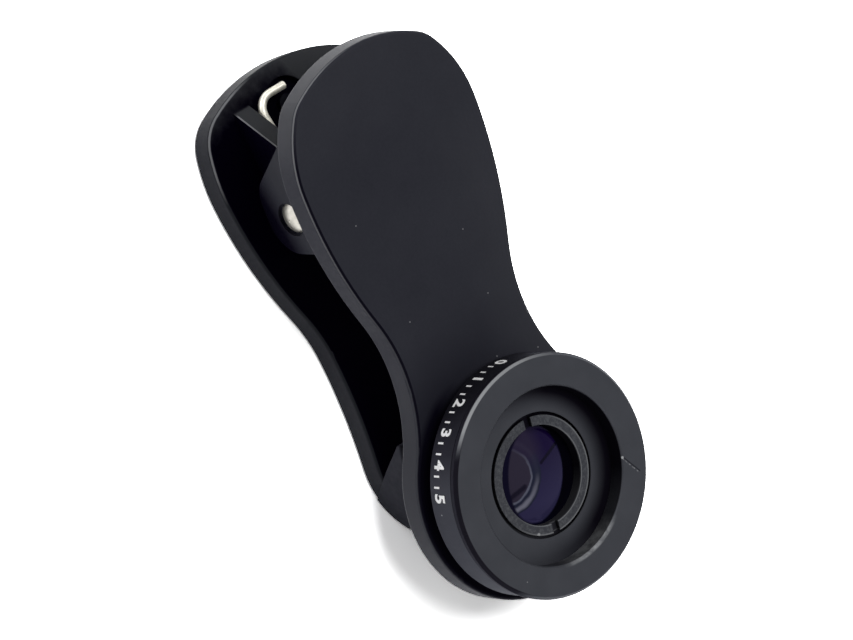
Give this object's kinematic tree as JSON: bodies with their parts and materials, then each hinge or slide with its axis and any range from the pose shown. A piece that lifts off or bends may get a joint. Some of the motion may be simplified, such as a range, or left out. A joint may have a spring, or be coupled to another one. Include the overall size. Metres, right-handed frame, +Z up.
{
  "type": "clip-on phone lens",
  "caption": "Black sprung clip of hourglass jaws on a riveted hinge with rubber pads, and a round macro lens screwed into the front jaw.",
  "frame": {"origin": "on the back jaw's outer face, straight under the hinge", "axes": "+X from the hinge to the finger end, +Z up from the back jaw's outer face through the clip, +Y to the near side along the rivet"},
  "size_m": [0.0735, 0.031, 0.0216],
  "materials": {
    "jaw_plastic": "satin black, fine grain",
    "pad_rubber": "matt dark grey",
    "washer_rubber": "matt black",
    "lens_metal": "satin black anodised",
    "ring_metal": "satin black anodised, turned",
    "inner_metal": "matt black",
    "rivet_steel": "plain steel",
    "spring_steel": "bright drawn wire",
    "coated_glass": "polished, purple coating"
  },
  "bodies": {
    "back_jaw": {"back_jaw": "jaw_plastic", "back_pad": "pad_rubber", "torsion_spring": "spring_steel"},
    "front_jaw": {"front_jaw": "jaw_plastic", "front_pad": "pad_rubber", "lens_insert": "lens_metal", "hinge_rivet": "rivet_steel"},
    "washer": {"neck_washer": "washer_rubber"},
    "lens": {"lens_barrel": "lens_metal", "front_ring": "ring_metal", "retaining_ring": "ring_metal", "front_glass": "coated_glass", "glass_spacer": "inner_metal", "aperture_stop": "inner_metal", "rear_glass": "coated_glass"}
  },
  "joints": [
    {"name": "jaw_hinge", "type": "hinge", "parent": "back_jaw", "child": "front_jaw", "pos_m": [0, 0, 0.009], "axis": [0, 1, 0], "range_deg": [0, 28], "stiffness_Nm_per_rad": 0.25, "springref_deg": -28.65, "deforming": ["torsion_spring"]},
    {"name": "lens_travel", "type": "slide", "parent": "front_jaw", "child": "washer", "axis": [-0.1599, 0, 0.9871], "range_m": [0, 0.00188]},
    {"name": "lens_turn", "type": "hinge", "parent": "washer", "child": "lens", "pos_m": [-0.04077, 0, 0.01243], "axis": [-0.1599, 0, 0.9871], "range_deg": [0, 900]}
  ],
  "couplings": [
    {"joint": "lens_travel", "follows": "lens_turn", "m_per_rad": 0.00011937}
  ]
}
